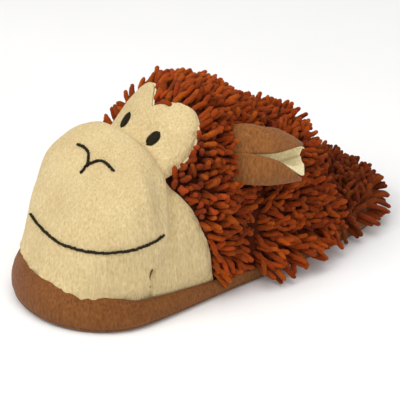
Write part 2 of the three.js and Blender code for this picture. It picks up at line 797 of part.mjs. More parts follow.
const parts = [
  ['outsole', sole, COLOUR.sole, 0.95],
  ['footbed', pad, COLOUR.yarn, 0.95],
  ['upper', upper, COLOUR.yarn, 0.95],
  ['head', head, COLOUR.yarn, 0.95],
  ['muzzle', muzzle, COLOUR.muzzle, 0.95],
  ['eye_mask', patch, COLOUR.muzzle, 0.95],
  ['side_panel_left', panels[0], COLOUR.panel, 0.95],
  ['side_panel_right', panels[1], COLOUR.panel, 0.95],
  ['ear_left', ears[0], COLOUR.ear, 0.95],
  ['ear_right', ears[1], COLOUR.ear, 0.95],
  ['ear_lining_left', linings[0], COLOUR.lining, 0.95],
  ['ear_lining_right', linings[1], COLOUR.lining, 0.95],
];

const slipper = new THREE.Group();
for (const [name, body, color, roughness] of parts) {
  const material = new THREE.MeshStandardMaterial({ color, roughness, metalness: 0 });
  const mesh = new THREE.Mesh(geometryOf(body), material);
  mesh.name = name;
  slipper.add(mesh);
}

export default slipper;
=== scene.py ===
import contextlib
import itertools
import math
import random

import bmesh
import bpy
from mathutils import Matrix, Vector, noise
from mathutils.bvhtree import BVHTree


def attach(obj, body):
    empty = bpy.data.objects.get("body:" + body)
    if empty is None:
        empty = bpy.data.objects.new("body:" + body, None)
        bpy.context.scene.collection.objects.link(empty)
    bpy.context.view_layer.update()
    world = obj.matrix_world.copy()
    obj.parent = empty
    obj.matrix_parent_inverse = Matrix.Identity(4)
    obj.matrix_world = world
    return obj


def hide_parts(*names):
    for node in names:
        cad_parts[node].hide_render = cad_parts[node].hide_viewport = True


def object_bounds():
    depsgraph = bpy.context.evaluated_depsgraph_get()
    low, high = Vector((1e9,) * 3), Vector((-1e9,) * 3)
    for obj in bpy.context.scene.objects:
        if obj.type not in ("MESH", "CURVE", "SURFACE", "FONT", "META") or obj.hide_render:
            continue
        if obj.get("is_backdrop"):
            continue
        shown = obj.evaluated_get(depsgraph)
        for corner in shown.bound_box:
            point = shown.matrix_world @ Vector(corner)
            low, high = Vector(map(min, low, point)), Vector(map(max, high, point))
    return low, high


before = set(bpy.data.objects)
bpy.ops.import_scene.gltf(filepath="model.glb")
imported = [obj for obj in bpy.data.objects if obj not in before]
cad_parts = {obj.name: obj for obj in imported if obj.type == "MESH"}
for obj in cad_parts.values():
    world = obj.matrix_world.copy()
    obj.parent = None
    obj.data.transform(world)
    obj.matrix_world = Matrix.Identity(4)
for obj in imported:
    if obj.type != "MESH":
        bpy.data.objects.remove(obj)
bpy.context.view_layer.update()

# The camera is the photograph's: a long lens a metre off, looking down over the shoe's left toe corner.
# Four soft boxes and a white room light it, as for a catalogue.
CAMERA_ROUND = math.radians(54.3)
CAMERA_UP = math.radians(30.0)
CAMERA_AWAY = 1.0
SENSOR_WIDE = 36
FRAME_PIXELS = 400
LENS_PIXELS = 1565
LOOKS_AT = Vector((-0.0064, 0.0033, 0.030))
ROOM_LIGHT = 0.46


def towards(round_angle, up_angle):
    """The way from the shoe to something that stands so far round it and so far up."""
    level = math.cos(up_angle)
    return Vector((math.sin(round_angle) * level, -math.cos(round_angle) * level, math.sin(up_angle)))


def aim(thing, spot, direction, away):
    thing.location = spot + direction * away
    thing.rotation_mode = "QUATERNION"
    thing.rotation_quaternion = (-direction).to_track_quat("-Z", "Y")
    bpy.context.scene.collection.objects.link(thing)


camera = bpy.data.objects.new("camera", bpy.data.cameras.new("camera"))
camera.data.sensor_width = SENSOR_WIDE
camera.data.lens = SENSOR_WIDE * LENS_PIXELS / FRAME_PIXELS
aim(camera, LOOKS_AT, towards(CAMERA_ROUND, CAMERA_UP), CAMERA_AWAY)
bpy.context.scene.camera = camera

# Each box: name, degrees round, degrees up, metres away, metres across, watts, tint.
SOFT_BOXES = [
    ("key_box", -5, 46, 1.3, 0.8, 8.5, (1.0, 0.98, 0.95)),
    ("top_box", 60, 82, 1.2, 1.0, 6.0, (1.0, 1.0, 1.0)),
    ("side_box", 95, 24, 1.5, 0.9, 5.0, (1.0, 0.99, 0.97)),
    ("back_box", 215, 35, 1.6, 1.0, 1.8, (0.97, 0.98, 1.0)),
]
for name, round_degrees, up_degrees, away, size, power, tint in SOFT_BOXES:
    box = bpy.data.lights.new(name, "AREA")
    box.shape = "DISK"
    box.size = size
    box.energy = power
    box.color = tint
    direction = towards(math.radians(round_degrees), math.radians(up_degrees))
    aim(bpy.data.objects.new(name, box), Vector((0, 0, 0.04)), direction, away)

room = bpy.data.worlds.new("white_room")
room.use_nodes = True
room_walls = room.node_tree.nodes["Background"]
room_walls.inputs["Color"].default_value = (1, 1, 1, 1)
room_walls.inputs["Strength"].default_value = ROOM_LIGHT
bpy.context.scene.world = room
bpy.context.scene.view_settings.view_transform = "Standard"


# The studio floor is a wide sheet of matt white card. It lies flat under the shoe's sole, and is no part of
# the shoe.
FLOOR_REACH = 4


def dye(red, green, blue):
    """A colour as it is read off a picture, 0 to 255, made ready for a shader."""
    shares = [value / 255 for value in (red, green, blue)]
    return tuple(s / 12.92 if s <= 0.04045 else ((s + 0.055) / 1.055) ** 2.4 for s in shares) + (1.0,)


class Wire:
    """One output of a shader node. Arithmetic on it adds the Math nodes."""

    def __init__(self, finish, socket):
        self.finish = finish
        self.socket = socket

    def worked(self, operation, first, second):
        return self.finish.node("Math", {"operation": operation}, {0: first, 1: second})

    def __add__(self, other):
        return self.worked("ADD", self, other)

    def __radd__(self, other):
        return self.worked("ADD", other, self)

    def __mul__(self, other):
        return self.worked("MULTIPLY", self, other)

    def __rmul__(self, other):
        return self.worked("MULTIPLY", other, self)


class Finish:
    """A material being mixed. node() adds any shader node and hands back one of its outputs."""

    def __init__(self, name):
        self.material = bpy.data.materials.new(name)
        self.material.use_nodes = True
        self.tree = self.material.node_tree
        self.tree.nodes.clear()

    def node(self, kind, settings=None, sockets=None, out=0):
        made = self.tree.nodes.new("ShaderNode" + kind)
        for key, value in (settings or {}).items():
            setattr(made, key, value)
        for key, value in (sockets or {}).items():
            if isinstance(value, Wire):
                self.tree.links.new(value.socket, made.inputs[key])
            else:
                made.inputs[key].default_value = value
        return Wire(self, made.outputs[out])

    def place(self):
        return self.node("TexCoord", out="Object")

    def grain(self, scale, detail=3.0, rough=0.55):
        sockets = {"Vector": self.place(), "Scale": scale, "Detail": detail, "Roughness": rough}
        return self.node("TexNoise", {}, sockets)

    def spots(self, scale):
        return self.node("TexVoronoi", {}, {"Vector": self.place(), "Scale": scale})

    def spread(self, wire, low, high):
        """Stretches a range of values to 0..1."""
        return self.node("MapRange", {"clamp": True}, {"Value": wire, "From Min": low, "From Max": high})

    def blend(self, share, first, second):
        return self.node("Mix", {"data_type": "RGBA"}, {0: share, 6: first, 7: second}, out=2)

    def close(self, colour, roughness, height, depth, **fixed):
        """Ends the material with its shader. Fixed sockets take plain numbers."""
        sockets = {"Base Color": colour, "Roughness": roughness}
        sockets["Normal"] = self.node("Bump", {}, {"Strength": 0.8, "Distance": depth, "Height": height})
        sockets.update({key.replace("_", " "): value for key, value in fixed.items()})
        shader = self.node("BsdfPrincipled", {}, sockets)
        end = self.tree.nodes.new("ShaderNodeOutputMaterial")
        self.tree.links.new(shader.socket, end.inputs["Surface"])
        return self.material


card = Finish("white_card")
card_tone = card.blend(card.grain(6.0), dye(240, 240, 240), dye(247, 247, 247))
card_finish = card.close(card_tone, 0.85, card.grain(400.0), 0.0001)

floor_mesh = bpy.data.meshes.new("studio_floor")
floor_corners = [(x * FLOOR_REACH, y * FLOOR_REACH, 0) for x, y in ((-1, -1), (1, -1), (1, 1), (-1, 1))]
floor_mesh.from_pydata(floor_corners, [], [(0, 1, 2, 3)])
floor_mesh.materials.append(card_finish)
studio_floor = bpy.data.objects.new("studio_floor", floor_mesh)
bpy.context.scene.collection.objects.link(studio_floor)
studio_floor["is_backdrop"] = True


# The sole is a foam slab wrapped in short brown plush. The wrap stands up as a band round the toe, thin at
# the heel, and holds the snout. It is lasted under, with a pinch line just above the floor.
MM = 0.001
LENGTH = 262.0
HALF = 54.5
BAND_TOP = 23.0
SOLE_THICK = 9.0
ARCH_RISE = 1.5
TOE_SPRING = 2.5
RIM = 3.0
HEEL_ROUND = 0.17
TOE_ROUND = 0.24
SOLE_COUNT = 260


def column(*rows):
    """Smooth reading of a table of (where, value) rows that never overshoots them."""
    x = [row[0] for row in rows]
    y = [row[1] for row in rows]
    slope = [(y[i + 1] - y[i]) / (x[i + 1] - x[i]) for i in range(len(x) - 1)]
    tangent = [slope[0]]
    for a, b in zip(slope, slope[1:]):
        tangent.append(0.0 if a * b <= 0 else 2 * a * b / (a + b))
    tangent.append(slope[-1])

    def read(value):
        v = min(max(value, x[0]), x[-1])
        i = 0
        while i < len(x) - 2 and v > x[i + 1]:
            i += 1
        h = x[i + 1] - x[i]
        s = (v - x[i]) / h
        ends = y[i] * (1 + 2 * s) * (1 - s) ** 2 + y[i + 1] * s * s * (3 - 2 * s)
        return ends + tangent[i] * h * s * (1 - s) ** 2 + tangent[i + 1] * h * s * s * (s - 1)

    return read


def ease(value):
    s = min(max(value, 0.0), 1.0)
    return s * s * (3 - 2 * s)


def place_y(at):
    return LENGTH * (0.5 - at)


sole_width = column((0, 0.875), (0.14, 0.885), (0.35, 1), (0.5, 0.995), (0.68, 1), (0.82, 0.985), (1, 0.9))
band_share = column((0, 0.42), (0.5, 0.43), (0.6, 0.51), (0.7, 0.61), (0.8, 0.72), (0.9, 0.87), (1, 1))
arch_share = column((-0.05, 0), (0.29, 0), (0.34, 0.6), (0.38, 1), (0.42, 0.6), (0.46, 0), (1.05, 0))
spring_share = column((-0.05, 0), (0.88, 0), (0.95, 0.3), (1.05, 1.3))


def sole_half(at):
    t = min(max(at, 0.0), 1.0)
    heel = math.sqrt(max(0.0, 1 - ((HEEL_ROUND - t) / HEEL_ROUND) ** 2.2)) if t < HEEL_ROUND else 1.0
    start = 1 - TOE_ROUND
    toe = max(0.0, 1 - ((t - start) / TOE_ROUND) ** 2.65) ** (1 / 2.1) if t > start else 1.0
    return HALF * sole_width(t) * heel * toe


def band_height(at):
    return BAND_TOP * band_share(at)


def underside(at):
    return ARCH_RISE * arch_share(at) + TOE_SPRING * spring_share(at)


def ring(inset, height, count=SOLE_COUNT):
    """One loop of the sole's outline, drawn in by inset(at, i) and set at height(at, i)."""
    loop = []
    for i in range(count):
        angle = (i + 0.5) / count * 2 * math.pi
        at = 0.5 - 0.5 * math.cos(angle)
        side = 1 if angle < math.pi else -1
        drawn = inset(at, i)
        x = side * sole_half(at) * (1 - drawn / HALF)
        loop.append(Vector((x, place_y(at) * (1 - 2 * drawn / LENGTH), height(at, i))))
    return loop


def joined_loops(loops, closed=True):
    """Points and faces of a skin through loops of equal count."""
    count = len(loops[0])
    points = [point for loop in loops for point in loop]
    faces = []
    for i in range(len(loops) - 1):
        for j in range(count if closed else count - 1):
            a, b = i * count + j, i * count + (j + 1) % count
            faces.append((a, b, b + count, a + count))
    if closed:
        for end in (0, len(loops) - 1):
            points.append(sum(loops[end], Vector()) / count)
            for j in range(count):
                a, b = end * count + j, end * count + (j + 1) % count
                faces.append((b, a, len(points) - 1) if end == 0 else (a, b, len(points) - 1))
    return points, faces


def piece(name, points, faces, finish, slot, replaces=()):
    """A piece of the shoe from points in mm, riding on the shoe's one body."""
    mesh = bpy.data.meshes.new(name)
    mesh.from_pydata([point * MM for point in points], [], faces)
    mesh.materials.append(finish)
    mesh.polygons.foreach_set("use_smooth", [True] * len(mesh.polygons))
    made = bpy.data.objects.new(name, mesh)
    bpy.context.scene.collection.objects.link(made)
    with in_hand(mesh) as work:
        bmesh.ops.recalc_face_normals(work, faces=work.faces)
    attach(made, "root")
    if replaces:
        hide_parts(*replaces)
    return made


@contextlib.contextmanager
def in_hand(mesh):
    """A mesh taken up for work on its faces, and put back afterwards."""
    work = bmesh.new()
    work.from_mesh(mesh)
    yield work
    work.to_mesh(mesh)
    work.free()


def plush(name, deep, pale, nap, depth, sheen):
    """Short plush: a fine nap combed downwards, with faint patches where it was brushed."""
    cloth = Finish(name)
    stretched = {"Vector": cloth.place(), "Scale": (1.0, 1.0, 0.3)}
    combed = cloth.node("Mapping", {"vector_type": "POINT"}, stretched)
    brushed = cloth.spread(cloth.grain(45.0, 1.0), 0.3, 0.7)
    hairs = cloth.node("TexNoise", {}, {"Vector": combed, "Scale": nap, "Detail": 3.0, "Roughness": 0.6})
    pile = cloth.spread(hairs, 0.34, 0.66)
    tufts = cloth.node("TexVoronoi", {}, {"Vector": combed, "Scale": nap * 0.7})
    share = cloth.spread(brushed * 0.2 + pile * 0.5 + tufts * 0.35, 0.1, 0.95)
    colour = cloth.blend(share, deep, pale)
    height = pile * 0.6 + tufts * 0.6
    return cloth.close(
        colour, 0.95, height, depth, Sheen_Weight=sheen, Sheen_Roughness=0.45, Specular_IOR_Level=0.15
    )


sole_plush = plush("sole_plush", dye(98, 54, 24), dye(138, 88, 44), 900.0, 0.0005, 0.12)

BAND_SWELL = 3.3
BAND_LEAN = 5.4
BAND_LIFT = 3.0
PINCH_HIGH = 3.9


def swelling(at):
    """How far the band bulges over the floor: most beside the ball of the foot."""
    return BAND_SWELL * ease((at - 0.5) / 0.35) * (1 - 0.9 * ease((at - 0.82) / 0.18))


def lean(at):
    """How far the band's top is pulled in against the snout: most at the toe's tip."""
    return ease((at - 0.8) / 0.16)


def gathered(at, i, amount):
    """Small puckers where the wrap is drawn round the toe and the heel."""
    turn = max(ease((at - 0.8) / 0.15), 0.4 * ease((0.12 - at) / 0.1))
    return amount * turn * (0.5 + 0.5 * math.sin(i * 1.9 + 2.5 * math.sin(i * 0.37)))


def up_band(share, drop=0.0):
    """Height of a loop that lies a share of the way up the band."""
    def height(at, i):
        low = PINCH_HIGH + underside(at)
        return low + (band_height(at) + lean(at) * BAND_LIFT - low) * share - drop
    return height


# Loops from the middle of the underside out to the pinch line: inset, share of the swelling, height.
UNDER_LOOPS = [
    (34, 0, 0.7), (18, 0, 0.7), (8, 0, 0.7), (2.6, 0, 0.5), (1.4, 0.6, 0.6), (0.8, 0.8, 1.2), (0.6, 0.9, 2.2),
    (0.9, 0.9, 2.9), (0.4, 1, 3.6),
]
# Loops over the band's rolled top edge: inset, puckers, share of the band's height, drop.
TOP_LOOPS = [(0.4, 0.8, 0.98, 0.0), (1.3, 0.8, 1.0, -0.3), (2.2, 0.6, 1.0, 0.0), (2.9, 0.0, 0.92, 0.1)]
sole_loops = []
for inset, swell, high in UNDER_LOOPS:
    sole_loops.append(ring(lambda at, i: inset - swell * swelling(at), lambda at, i: high + underside(at)))
for share in (0.08, 0.18, 0.3, 0.42, 0.54, 0.66, 0.76, 0.85, 0.92):
    round_out = math.cos(math.pi / 2 * max(0.0, share - 0.15) / 0.85)
    bulge = 0.4 * math.sin(math.pi * share)
    sole_loops.append(ring(
        lambda at, i: (gathered(at, i, 0.6 * share) - bulge - swelling(at) * (1.05 * round_out)
                       + BAND_LEAN * lean(at) * share * share),
        up_band(share),
    ))
for inset, pucker, share, drop in TOP_LOOPS:
    sole_loops.append(ring(
        lambda at, i: inset + gathered(at, i, pucker) + BAND_LEAN * lean(at), up_band(share, drop)
    ))
sole_loops.append(ring(lambda at, i: RIM, lambda at, i: max(up_band(0.6)(at, i), SOLE_THICK)))
for inset in (3.1, 20, 36):
    sole_loops.append(ring(lambda at, i: inset, lambda at, i: SOLE_THICK))
outsole_wrap = piece("outsole_wrap", *joined_loops(sole_loops), sole_plush, "sole_plush", ["outsole"])
under_cloth = Finish("under_cloth")
weave = under_cloth.spots(900.0)
under_tone = under_cloth.blend(under_cloth.spread(weave, 0.0, 0.8), dye(92, 58, 34), dye(70, 42, 24))
outsole_wrap.data.materials.append(under_cloth.close(under_tone, 0.9, weave, 0.0003))
for face in outsole_wrap.data.polygons:
    face.material_index = 1 if face.normal.z < -0.9 and face.center.z < 0.004 else 0


# Grip dots of soft rubber keep the sole from sliding. They are printed on its cloth underside in staggered
# rows, and stop short of its edge.
DOT_STEP = 6.6
DOT_SIDES = 8
DOT_EDGE = 7
DOT_ROWS, DOT_COLUMNS = 18, 8
rubber = Finish("grip_rubber")
rubber_tone = rubber.blend(rubber.grain(300.0), dye(58, 40, 28), dye(74, 52, 36))
grip_rubber = rubber.close(rubber_tone, 0.55, rubber.grain(900.0), 0.0001)


def share_of(y):
    return 0.5 - y / LENGTH


def sleeve(faces, first, rings, sides):
    """Adds the faces of a round skin whose rings of points follow one another from the first."""
    for start in range(first, first + (rings - 1) * sides, sides):
        for k in range(sides):
            a, b = start + k, start + (k + 1) % sides
            faces.append((a, b, b + sides, a + sides))


dot_points, dot_faces = [], []
for row in range(-DOT_ROWS, DOT_ROWS + 1):
    for step in range(-DOT_COLUMNS, DOT_COLUMNS + 1):
        x = (step + 0.5 * (row % 2)) * DOT_STEP
        y = row * DOT_STEP
        at = share_of(y)
        if abs(x) > sole_half(at) - DOT_EDGE or abs(y) > LENGTH / 2 - DOT_EDGE:
            continue
        first = len(dot_points)
        base = 0.75 + underside(at)
        for reach, height in ((1.3, base), (1.2, base - 0.4), (0.75, base - 0.7)):
            for k in range(DOT_SIDES):
                turn = k * 2 * math.pi / DOT_SIDES
                dot_points.append(Vector((x + reach * math.cos(turn), y + reach * math.sin(turn), height)))
        sleeve(dot_faces, first, 3, DOT_SIDES)
        dot_faces.append(tuple(first + 2 * DOT_SIDES + k for k in range(DOT_SIDES)))
piece("grip_dots", dot_points, dot_faces, grip_rubber, "sole_plush")


# The footbed is a foam pad under a sewn cover of brown plush, glued down on the sole inside its band. Shaggy
# yarn is tufted into its open heel.
PAD_THICK = 9.0
GAP = 0.3
BASE = SOLE_THICK + GAP
PAD_COUNT = 160
HEEL_HOLLOW = 1.6
pad_inset = column(
    (0, 1.4), (0.185, 1.6), (0.224, 8), (0.3, 7.2), (0.45, 7.2), (0.52, 11.4), (0.85, 11.6), (1, 15),
)


def pad_top(at):
    """The pad's worn top: a hollow where the heel treads."""
    return BASE + PAD_THICK - HEEL_HOLLOW * math.exp(-(((at - 0.15) / 0.1) ** 2))


def pad_ring(extra, height):
    return ring(lambda at, i: pad_inset(at) + extra, lambda at, i: height(at), PAD_COUNT)


# Loops of the pad, each with its inset: heights over the sole up the side, drops from the top round the
# shoulder, and shares of the heel's tread across the top.
PAD_SIDE = [(30, 0), (1.0, 0), (0.3, 1.0), (0.0, 2.6), (0.0, 4.4)]
PAD_SHOULDER = [(0.3, 2.6), (1.2, 1.1), (2.6, 0.3)]
PAD_TREAD = [(5.0, 0.0), (10.0, 0.4), (18.0, 0.8), (26.0, 1.0), (36.0, 1.0)]
PAD_TOP = BASE + PAD_THICK
pad_loops = [pad_ring(inset, lambda at: BASE + high) for inset, high in PAD_SIDE]
pad_loops += [pad_ring(inset, lambda at: PAD_TOP - drop) for inset, drop in PAD_SHOULDER]
for inset, share in PAD_TREAD:
    pad_loops.append(pad_ring(inset, lambda at: PAD_TOP * (1 - share) + pad_top(at) * share))
inner_plush = plush("inner_plush", dye(74, 34, 14), dye(112, 60, 30), 520.0, 0.0006, 0.05)
footbed_pad = piece("footbed_pad", *joined_loops(pad_loops), inner_plush, "yarn", ["footbed"])


# The upper is a hollow padded shell over the foot, open at the collar and underneath. Its cloth is rolled
# over a soft binding at the collar, and all of it that shows outside carries shaggy yarn.
yarn_ground = plush("yarn_ground", dye(52, 16, 3), dye(86, 30, 8), 700.0, 0.0004, 0.0)
INSTEP_TOP = 74.0
WALL = 3.0
COLLAR_ROLL = 3.2
UPPER_FRONT = 0.96
UPPER_ACROSS = 96
upper_top = column(
    (0.2, 1), (0.26, 1.02), (0.34, 1.04), (0.42, 1.01), (0.48, 0.97), (0.54, 0.92),
    (0.64, 0.81), (0.74, 0.69), (0.84, 0.56), (0.9, 0.46), (0.94, 0.36), (0.962, 0.26),
)
upper_inset = column((0.2, 2), (0.26, 1.6), (0.34, 1.6), (0.42, 1.9), (0.48, 2.6), (0.54, 7.4), (0.962, 7.4))
upper_power = column((0.2, 2.5), (0.34, 2.5), (0.42, 2.4), (0.94, 2.4), (0.962, 2.2))
collar_at = column(
    (-0.2, 0.246), (0.12, 0.248), (0.4, 0.258), (0.62, 0.296), (0.82, 0.29), (1.02, 0.262), (1.4, 0.24),
)


def arch_point(at, angle, half, top, power, tuck):
    """A point on an arch across the shoe: angle 0 is the wearer's left edge and pi the right."""
    c, s = math.cos(angle), max(math.sin(angle), 0.0)
    reach = (abs(c) ** power + s ** power) ** (-1 / power)
    z = BASE + (top - BASE) * reach * s
    held = 1 - ease((z - band_height(at)) / 14)
    return Vector((reach * c * (half - tuck * held), place_y(at), z))


def inset_half(y, inset):
    return sole_half(share_of(y * LENGTH / (LENGTH - 2 * inset))) * (1 - inset / HALF)


def upper_point(at, angle, grow):
    """A point on the upper's outside, grown outwards in mm or inwards if it is negative."""
    half = inset_half(place_y(at), upper_inset(at)) + grow
    return arch_point(at, angle, half, INSTEP_TOP * upper_top(at) + grow, upper_power(at), 0)


def collar_share(angle):
    """Where along the shoe the upper's edge starts, at an angle over the arch."""
    at = 0.27
    for _ in range(8):
        at = collar_at(upper_point(at, angle, -WALL / 2).z / INSTEP_TOP)
    return at


def thicken(made, depth):
    """Gives an outer cloth its thickness, inwards, and keeps the result as the mesh."""
    layer = made.modifiers.new("cloth", "SOLIDIFY")
    layer.thickness = depth * MM
    layer.offset = -1
    settle(made)


def settle(made):
    """Keeps what a piece's modifiers make of it as its mesh."""
    whole = made.evaluated_get(bpy.context.evaluated_depsgraph_get())
    mesh = bpy.data.meshes.new_from_object(whole)
    made.modifiers.clear()
    made.data = mesh


def stations(start, end, count):
    return [start + (end - start) * i / (count - 1) for i in range(count)]


upper_angles = stations(0, math.pi, UPPER_ACROSS)
upper_starts = [collar_share(angle) for angle in upper_angles]
upper_loops = []
for share in stations(0, 1, 60):
    loop = []
    for angle, start in zip(upper_angles, upper_starts):
        loop.append(upper_point(start + (0.955 - start) * share, angle, 0))
    upper_loops.append(loop)
upper_end, upper_toe = upper_loops[-1], Vector((0, place_y(0.962), 20))
for share in (0.8, 0.5, 0.2, 0.02):
    upper_loops.append([upper_toe + (point - upper_toe) * share for point in upper_end])
upper_shell = piece("upper_shell", *joined_loops(upper_loops, closed=False), inner_plush, "yarn", ["upper"])
upper_skin = upper_shell.data.copy()
thicken(upper_shell, WALL)
upper_shell.data.materials.append(yarn_ground)
for face in upper_shell.data.polygons:
    outside = Vector((face.center.x, 0, face.center.z - BASE * MM)).dot(face.normal) > 0
    face.material_index = 1 if outside else 0


def circle(middle, across, up, radius, sides):
    """Points round a middle, in the plane of two crossed directions."""
    turns = [k * 2 * math.pi / sides for k in range(sides)]
    return [middle + (across * math.cos(turn) + up * math.sin(turn)) * radius for turn in turns]


def tube(path, radius, sides):
    """Points and faces of a round roll along a path."""
    loops = []
    for i, spot in enumerate(path):
        along = (path[min(i + 1, len(path) - 1)] - path[max(i - 1, 0)]).normalized()
        side = along.cross(Vector((0, 1, 0.001))).normalized()
        up = side.cross(along).normalized()
        loops.append(circle(spot, side, up, radius, sides))
    return joined_loops(loops)


collar_path = [upper_point(start, angle, -WALL / 2) for start, angle in zip(upper_starts, upper_angles)]
collar_roll = piece("collar_roll", *tube(collar_path, COLLAR_ROLL, 18), yarn_ground, "yarn")


# The head is a cloth skin stuffed with loose fibre and sewn over the upper. Its back half carries the same
# shaggy yarn.
HEAD_TOP = 122.0
HEAD_ENDS = (0.302, 0.767)
HEAD_ACROSS = 120


def columns(*rows):
    """Several readings of one table, whose rows start with where."""
    return [column(*[(row[0], row[k]) for row in rows]) for k in range(1, len(rows[0]))]


# Rows of the head: place along the shoe, height, half width.
head_top, head_width = columns(
    (0.302, 0.6, 0.12), (0.317, 0.68, 0.3), (0.355, 0.75, 0.55), (0.405, 0.83, 0.74), (0.454, 0.92, 0.88),
    (0.5, 0.985, 0.95), (0.546, 1, 0.965), (0.588, 0.98, 0.97), (0.626, 0.93, 0.965), (0.645, 0.885, 0.96),
    (0.672, 0.815, 0.96), (0.7, 0.755, 0.965), (0.73, 0.7, 0.965), (0.767, 0.6, 0.94),
)
head_power = column(
    (0.302, 2.2), (0.317, 2.2), (0.355, 2.3), (0.454, 2.3), (0.5, 2.35), (0.546, 2.4), (0.672, 2.4),
    (0.7, 2.5), (0.73, 2.6), (0.767, 2.6),
)


def head_form(at):
    """The head's half width, top and squareness at a place along the shoe."""
    return HALF * head_width(at), HEAD_TOP * head_top(at), head_power(at)


def stuffed_point(form, at, angle, grow):
    """A point on a stuffed form's skin: it is held in by the sole's band and swells out above it."""
    half, top, power = form(at)
    half = max(half + grow, 1.0)
    held = inset_half(place_y(at), RIM + GAP) + min(grow, 0)
    return arch_point(at, angle, half, top + grow, power, max(0.0, half - held))


def in_arch(point, half, top, power):
    high = max(point.z - BASE, 0.0) / (top - BASE)
    return (abs(point.x) / max(half, 0.1)) ** power + high ** power < 1


def in_upper(point, grow):
    """Whether a point lies inside the upper, grown outwards by some mm."""
    at = share_of(point.y)
    if at > UPPER_FRONT or at < collar_at(point.z / INSTEP_TOP) - 0.004:
        return False
    half = inset_half(point.y, upper_inset(at)) + grow
    return in_arch(point, half, INSTEP_TOP * upper_top(at) + grow, upper_power(at))


def uncovered(points, faces):
    """Drops the faces that lie wholly inside the upper, and the points left over."""
    out = [in_upper(point, -1.2) for point in points]
    kept = [face for face in faces if not all(out[i] for i in face)]
    used = sorted({i for face in kept for i in face})
    renamed = {old: new for new, old in enumerate(used)}
    return [points[i] for i in used], [tuple(renamed[i] for i in face) for face in kept]


YARN_SINK = 6.0
head_angles = stations(0, math.pi, HEAD_ACROSS)


def sunk(at):
    """The skin lies deeper under the yarn at the back, where the pile makes up the head's outline."""
    return YARN_SINK * ease((0.602 - at) / 0.09)


head_loops = []
for at in stations(0.31, 0.74, 80):
    head_loops.append([stuffed_point(head_form, at, angle, -sunk(at)) for angle in head_angles])
head_points, head_faces = joined_loops(head_loops, closed=False)
head_back = len(head_points)
head_points.append(Vector((0, place_y(0.309), HEAD_TOP * 0.55)))
head_faces += [(j + 1, j, head_back) for j in range(HEAD_ACROSS - 1)]
head_skin = piece("head_skin", *uncovered(head_points, head_faces), yarn_ground, "yarn", ["head"])


# The snout is a stuffed ball of short beige plush, cut from two panels. It is drawn in hard by the sole's
# band, so its skin puckers there, and it swells over the cheek panels.
MUZZLE_TOP = 101.0
MUZZLE_ENDS = (0.655, 0.984)
# Rows of the snout: place along the shoe, height, half width, squareness.
muzzle_top, muzzle_width, muzzle_power = columns(
    (0.655, 0.62, 0.6, 2.6), (0.668, 0.74, 0.71, 2.8), (0.683, 0.845, 0.79, 3), (0.703, 0.945, 0.865, 3),
    (0.729, 1, 0.935, 2.9), (0.752, 0.98, 0.985, 3.3), (0.775, 0.935, 1.01, 4.2), (0.821, 0.845, 0.985, 4.6),
    (0.859, 0.745, 0.91, 3.3), (0.897, 0.59, 0.79, 3.1), (0.927, 0.457, 0.655, 3), (0.95, 0.33, 0.49, 2.8),
    (0.972, 0.225, 0.32, 2.4), (0.984, 0.165, 0.17, 2.2),
)


def muzzle_form(at):
    return HALF * muzzle_width(at), MUZZLE_TOP * muzzle_top(at), muzzle_power(at)


def soften(made, rounds):
    """Eases a skin's points towards their neighbours, but for its open edges."""
    every_way = {f"use_axis_{axis}": True for axis in "xyz"}
    with in_hand(made.data) as work:
        loose = [v for v in work.verts if not v.is_boundary]
        for _ in range(rounds):
            bmesh.ops.smooth_vert(work, verts=loose, factor=0.5, **every_way)


def marks(*spots):
    """Spots on the shoe in mm, as they are chalked on for sewing."""
    return [Vector(spot) for spot in spots]


def far_side(path):
    """The same path on the shoe's other side."""
    return [Vector((-point.x, point.y, point.z)) for point in path]


def off_path(point, path):
    """Distance in mm from a path of straight steps."""
    best = 1e9
    for a, b in zip(path, path[1:]):
        step = b - a
        share = min(max((point - a).dot(step) / step.length_squared, 0.0), 1.0)
        best = min(best, (point - a - step * share).length)
    return best


def push(made, outwards):
    """Moves each point of a skin along its normal by outwards(spot) mm."""
    normals = [v.normal.copy() for v in made.data.vertices]
    for vertex, normal in zip(made.data.vertices, normals):
        vertex.co += normal * (outwards(vertex.co / MM) * MM)


def press(made, path, width, depth):
    """Presses a soft trough into a piece along a path in mm. A negative depth raises a ridge."""
    low = [min(p[k] for p in path) - 3 * width for k in range(3)]
    high = [max(p[k] for p in path) + 3 * width for k in range(3)]

    def outwards(spot):
        if any(spot[k] < low[k] or spot[k] > high[k] for k in range(3)):
            return 0.0
        return -depth * math.exp(-((off_path(spot, path) / width) ** 2))

    push(made, outwards)


def ruffle(made, amount, size, seed, where=lambda spot: 1.0):
    """Uneven stuffing: moves a skin in and out by a slow noise, as far as where(spot) lets it."""
    push(made, lambda spot: noise.noise(spot / size + Vector((seed, 0, 0))) * amount * where(spot))


face_plush = plush("face_plush", dye(193, 167, 117), dye(225, 205, 157), 900.0, 0.0008, 0.1)

muzzle_angles = stations(0, math.pi, 150)
muzzle_loops = []
for at in stations(0.656, 0.93, 84) + stations(0.933, 0.984, 22):
    muzzle_loops.append([stuffed_point(muzzle_form, at, angle, 0) for angle in muzzle_angles])
snout_end, snout_tip = muzzle_loops[-1], Vector((0, place_y(0.9845), 14))
for share in (0.7, 0.4, 0.1):
    muzzle_loops.append([snout_tip + (point - snout_tip) * share for point in snout_end])
muzzle_points, muzzle_faces = uncovered(*joined_loops(muzzle_loops, closed=False))
muzzle_skin = piece("muzzle_skin", muzzle_points, muzzle_faces, face_plush, "face_plush", ["muzzle"])
soften(muzzle_skin, 3)


def near_band(spot):
    return 1 - ease((spot.z - band_height(share_of(spot.y))) / 22)


